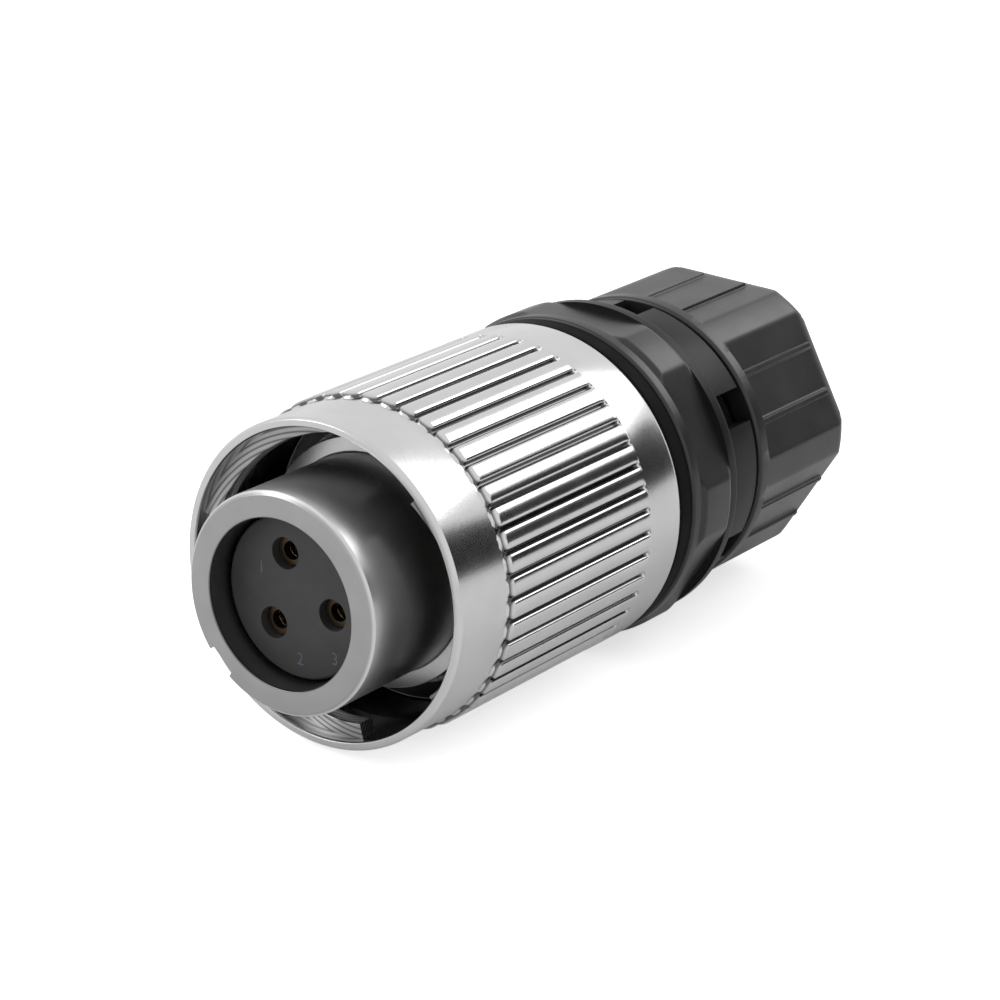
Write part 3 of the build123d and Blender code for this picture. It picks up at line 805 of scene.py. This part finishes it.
def cut_hole(body, x, z, radius, front, rear):
    """Takes a round hole along Y out of a body, between two stations."""
    bpy.ops.mesh.primitive_cylinder_add(
        vertices=64, radius=radius * MM, depth=(rear - front) * MM,
        location=(x * MM, (front + rear) / 2 * MM, z * MM), rotation=(math.pi / 2, 0, 0))
    cutter = bpy.context.object
    cut = body.modifiers.new("hole", "BOOLEAN")
    cut.operation = "DIFFERENCE"
    cut.solver = "EXACT"
    cut.object = cutter
    bpy.context.view_layer.objects.active = body
    bpy.ops.object.modifier_apply(modifier=cut.name)
    bpy.data.objects.remove(cutter, do_unlink=True)


def insulator():
    """The turned body, closed on its axis, with a stepped hole for each contact."""
    body = spin("front_insulator_dressed", rounded([
        (AXIS_R, INSERT_RECESS, 0), (INSERT_R, INSERT_RECESS, 0.3), (INSERT_R, INSERT_SEAT, 0),
        (INSERT_SHOULDER_R, INSERT_SEAT, 0), (INSERT_SHOULDER_R, INSERT_REAR, 0),
        (AXIS_R, INSERT_REAR, 0),
    ]), around(3.0))
    work = bmesh.new()
    work.from_mesh(body.data)
    bmesh.ops.remove_doubles(work, verts=work.verts, dist=JOINING_DISTANCE * MM)
    work.to_mesh(body.data)
    work.free()
    for degrees in CONTACT_ANGLES:
        x = CONTACT_PITCH_R * math.cos(math.radians(degrees))
        z = CONTACT_PITCH_R * math.sin(math.radians(degrees))
        rear = INSERT_REAR + CUT_OVERRUN
        cut_hole(body, x, z, CONTACT_HOLE_R, INSERT_RECESS - CUT_OVERRUN, rear)
        cut_hole(body, x, z, CONTACT_COLLAR_R, INSERT_REAR - CONTACT_COLLAR_LENGTH, rear)
    shade_smooth(body.data)
    return body


insert = insulator()
insert.data.materials.append(insert_plastic)
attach(insert, "shell")
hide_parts("front_insulator")


# Contact numbers printed on the insulator's face

for number, (x, z) in enumerate(NUMBER_PLACES, start=1):
    curve = bpy.data.curves.new(f"contact_number_{number}", "FONT")
    curve.body = str(number)
    curve.size = NUMBER_HEIGHT * MM
    curve.extrude = NUMBER_THICKNESS * MM
    curve.align_x = "CENTER"
    curve.align_y = "CENTER"
    text = bpy.data.objects.new(f"contact_number_{number}", curve)
    bpy.context.scene.collection.objects.link(text)
    text.location = (x * MM, (INSERT_RECESS - NUMBER_THICKNESS - 0.002) * MM, z * MM)
    text.rotation_euler = (math.pi / 2, 0, 0)
    text.data.materials.append(number_paint)
    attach(text, "shell")


# Finishes of the CAD nodes, also of those that a piece replaces

CAD_LOOKS = {
    "plug_shell": nickel_shell, "coupling_ring": nickel, "rear_seal": black_rubber,
    "back_shell": black_plastic, "gland_nut": nut_plastic, "front_insulator": insert_plastic,
    "rear_insulator": insert_plastic, "insert_retaining_ring": steel,
    "socket_contact_1": brass, "socket_contact_2": brass, "socket_contact_3": brass,
    "contact_hood_1": hood_metal_painted_shade, "contact_hood_2": hood_metal_painted_shade, "contact_hood_3": hood_metal_painted_shade,
    "disc_spring": steel, "thrust_washer": steel, "slide_washer": white_plastic,
    "shell_o_ring": black_rubber, "cable_seal": black_rubber, "clamp_cage": cage_plastic,
    "slip_washer": white_plastic,
}
for name, look in CAD_LOOKS.items():
    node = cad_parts[name]
    node.data.materials.clear()
    node.data.materials.append(look)


# Stage: floor, and two dark cards that give the metal its dark bands. Places are in metres.

FLOOR_SIZE = 8
FLOOR_GLOW = 0.65
FLOOR_GLOW_IN_METAL = 0.12


def stage_plane(name, centre, size_x, size_y, normal, look):
    """A flat piece of the stage, which faces along its normal."""
    mesh = bpy.data.meshes.new(name)
    x, y = size_x / 2, size_y / 2
    mesh.from_pydata([(-x, -y, 0), (x, -y, 0), (x, y, 0), (-x, y, 0)], [], [(0, 1, 2, 3)])
    plane = bpy.data.objects.new(name, mesh)
    plane.location = centre
    plane.rotation_euler = Vector(normal).to_track_quat("Z", "Y").to_euler()
    plane.data.materials.append(look)
    bpy.context.scene.collection.objects.link(plane)


def dull(name, value):
    """A grey without gloss."""
    material, nodes, links, shader = new_material(name)
    shader.inputs["Base Color"].default_value = (*grey(value), 1)
    shader.inputs["Roughness"].default_value = 0.9
    shader.inputs["Specular IOR Level"].default_value = 0.0
    return material, nodes, links, shader


floor_look, nodes, links, shader = dull("floor_white", 0.95)
path = nodes.new("ShaderNodeLightPath")
reflected = nodes.new("ShaderNodeMath")
reflected.operation = "MULTIPLY"
reflected.inputs[1].default_value = FLOOR_GLOW_IN_METAL
links.new(path.outputs["Is Glossy Ray"], reflected.inputs[0])
glow = nodes.new("ShaderNodeMath")
glow.operation = "MULTIPLY_ADD"
glow.inputs[1].default_value = FLOOR_GLOW
links.new(path.outputs["Is Camera Ray"], glow.inputs[0])
links.new(reflected.outputs["Value"], glow.inputs[2])
shader.inputs["Emission Color"].default_value = (1, 1, 1, 1)
links.new(glow.outputs["Value"], shader.inputs["Emission Strength"])
stage_plane("floor", (0, 0, -CREST_R * MM), FLOOR_SIZE, FLOOR_SIZE, (0, 0, 1), floor_look)

card_look = dull("card_black", 0.02)[0]
stage_plane("dark_card", (0.40, 0.42, 0.105), 0.42, 0.24, (-0.6, -0.77, 0), card_look)
stage_plane("dark_strip", (0.36, 0.37, -0.0135), 0.40, 0.10, (0, 0, 1), card_look)


# World: white where it is seen, also in metal and glass, and dimmer as a light

WORLD_LIGHT = 0.62
world = bpy.data.worlds.new("studio")
bpy.context.scene.world = world
world.use_nodes = True
nodes = world.node_tree.nodes
links = world.node_tree.links
background = nodes["Background"]
path = nodes.new("ShaderNodeLightPath")
seen = nodes.new("ShaderNodeMath")
seen.operation = "MAXIMUM"
seen_all = nodes.new("ShaderNodeMath")
seen_all.operation = "MAXIMUM"
level = nodes.new("ShaderNodeMapRange")
level.inputs["To Min"].default_value = WORLD_LIGHT
level.inputs["To Max"].default_value = 1.0
links.new(path.outputs["Is Camera Ray"], seen.inputs[0])
links.new(path.outputs["Is Glossy Ray"], seen.inputs[1])
links.new(seen.outputs["Value"], seen_all.inputs[0])
links.new(path.outputs["Is Transmission Ray"], seen_all.inputs[1])
links.new(seen_all.outputs["Value"], level.inputs["Value"])
background.inputs["Color"].default_value = (1, 1, 1, 1)
links.new(level.outputs["Result"], background.inputs["Strength"])


# Lamps, with places and sizes in metres

def softbox(name, place, target, width, height, watts):
    """A rectangular lamp that looks at its target."""
    lamp = bpy.data.lights.new(name, "AREA")
    lamp.shape = "RECTANGLE"
    lamp.size = width
    lamp.size_y = height
    lamp.energy = watts
    box = bpy.data.objects.new(name, lamp)
    box.location = place
    box.rotation_euler = (Vector(place) - Vector(target)).to_track_quat("Z", "Y").to_euler()
    bpy.context.scene.collection.objects.link(box)


softbox("top_back", (0.19, 0.50, 0.37), (0, 0.03, 0), 0.34, 0.22, 0.7)
softbox("front_left", (-0.45, -0.35, 0.45), (0, 0.02, 0), 0.35, 0.35, 1.3)


# Camera, from the fit to the photo

CAMERA_AZIMUTH = math.radians(35.8)
CAMERA_ELEVATION = math.radians(19.3)
CAMERA_DISTANCE = 293.4
CAMERA_TARGET = (3.55, 25.0, 2.47)
CAMERA_SENSOR = 36
CAMERA_LENS = 126

to_camera = Vector((math.sin(CAMERA_AZIMUTH) * math.cos(CAMERA_ELEVATION),
                    -math.cos(CAMERA_AZIMUTH) * math.cos(CAMERA_ELEVATION),
                    math.sin(CAMERA_ELEVATION)))
camera_data = bpy.data.cameras.new("camera")
camera_data.sensor_width = CAMERA_SENSOR
camera_data.lens = CAMERA_LENS
camera_data.clip_start = 0.01
camera_data.clip_end = 20
camera = bpy.data.objects.new("camera", camera_data)
camera.location = Vector(CAMERA_TARGET) * MM + to_camera * (CAMERA_DISTANCE * MM)
camera.rotation_euler = to_camera.to_track_quat("Z", "Y").to_euler()
bpy.context.scene.collection.objects.link(camera)
bpy.context.scene.camera = camera

bpy.context.scene.view_settings.view_transform = "Standard"
